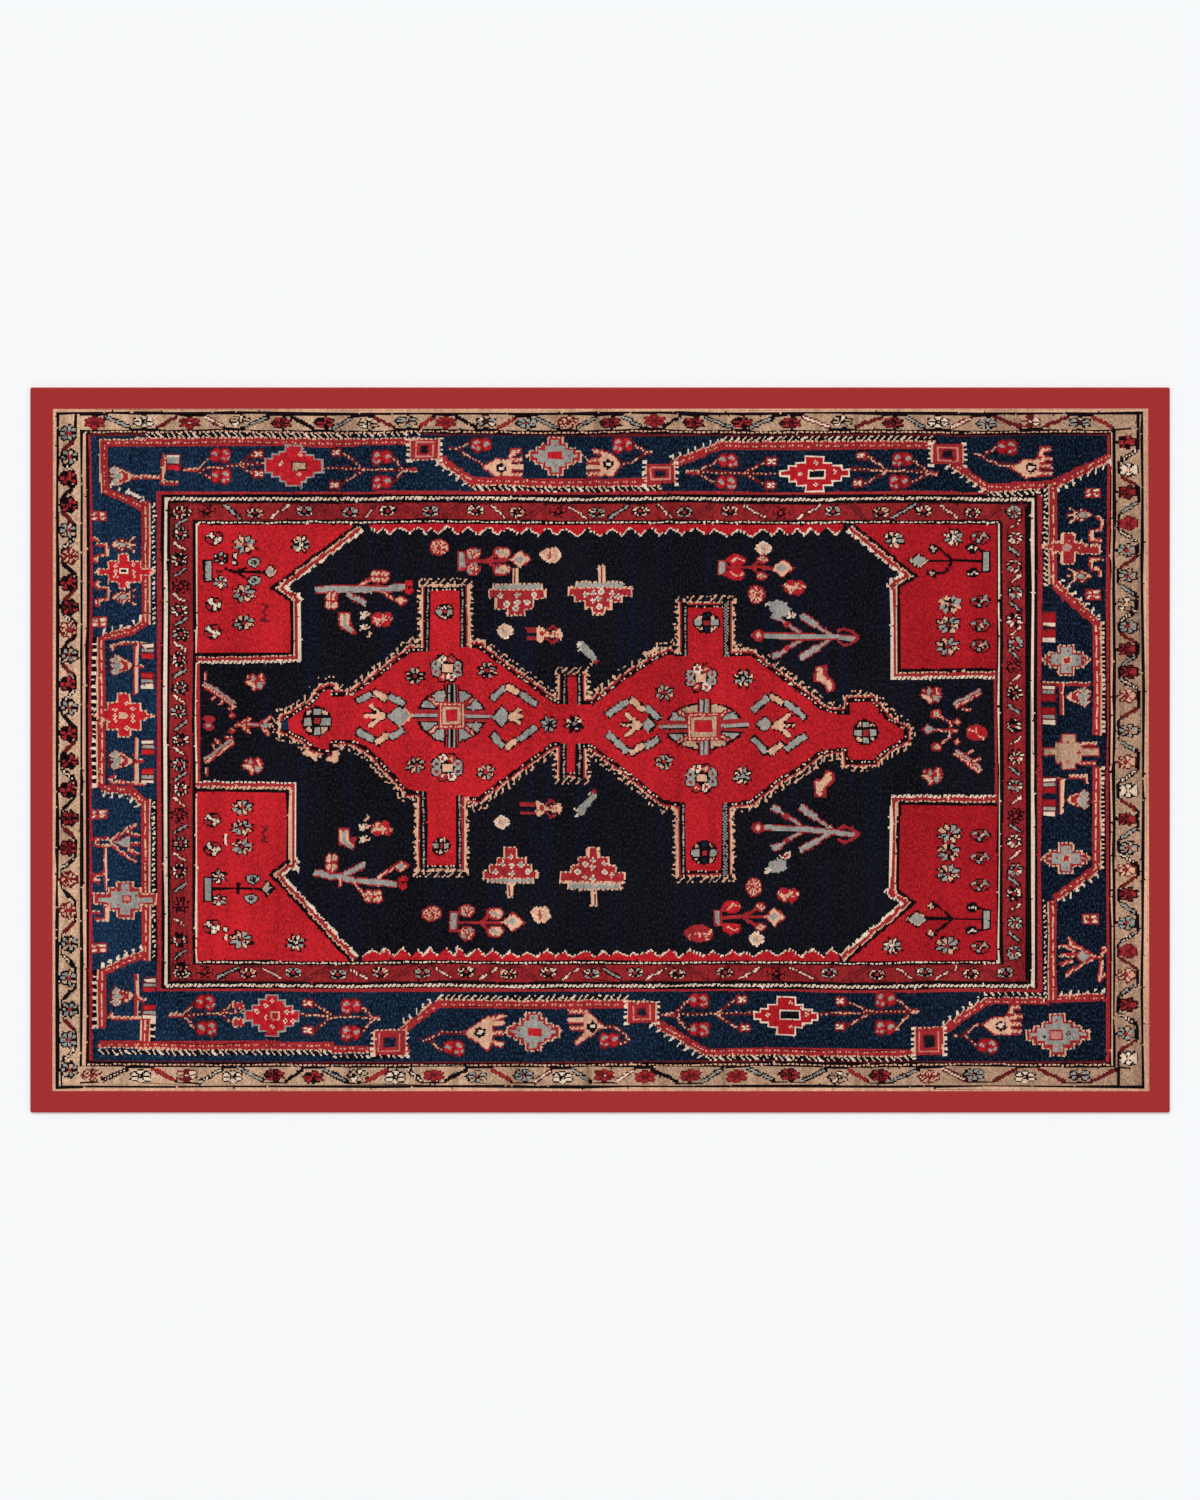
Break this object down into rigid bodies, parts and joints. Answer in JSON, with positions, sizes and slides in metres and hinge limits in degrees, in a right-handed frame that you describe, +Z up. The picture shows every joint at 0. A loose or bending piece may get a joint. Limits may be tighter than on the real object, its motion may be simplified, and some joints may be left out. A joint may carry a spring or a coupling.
{
  "type": "printed rug",
  "caption": "Flat oblong rug of low pile cloth, printed with a traditional village-rug design inside a plain red band.",
  "frame": {"origin": "middle of the flat underside, which lies on the floor", "axes": "+X along the rug's length, +Y across its width, +Z up from the floor through the pile"},
  "size_m": [2.2, 1.4, 0.005],
  "materials": {
    "printed_pile": "matte low cut pile, printed through from above, undyed backing"
  },
  "bodies": {
    "root": {"rug": "printed_pile"}
  },
  "joints": []
}
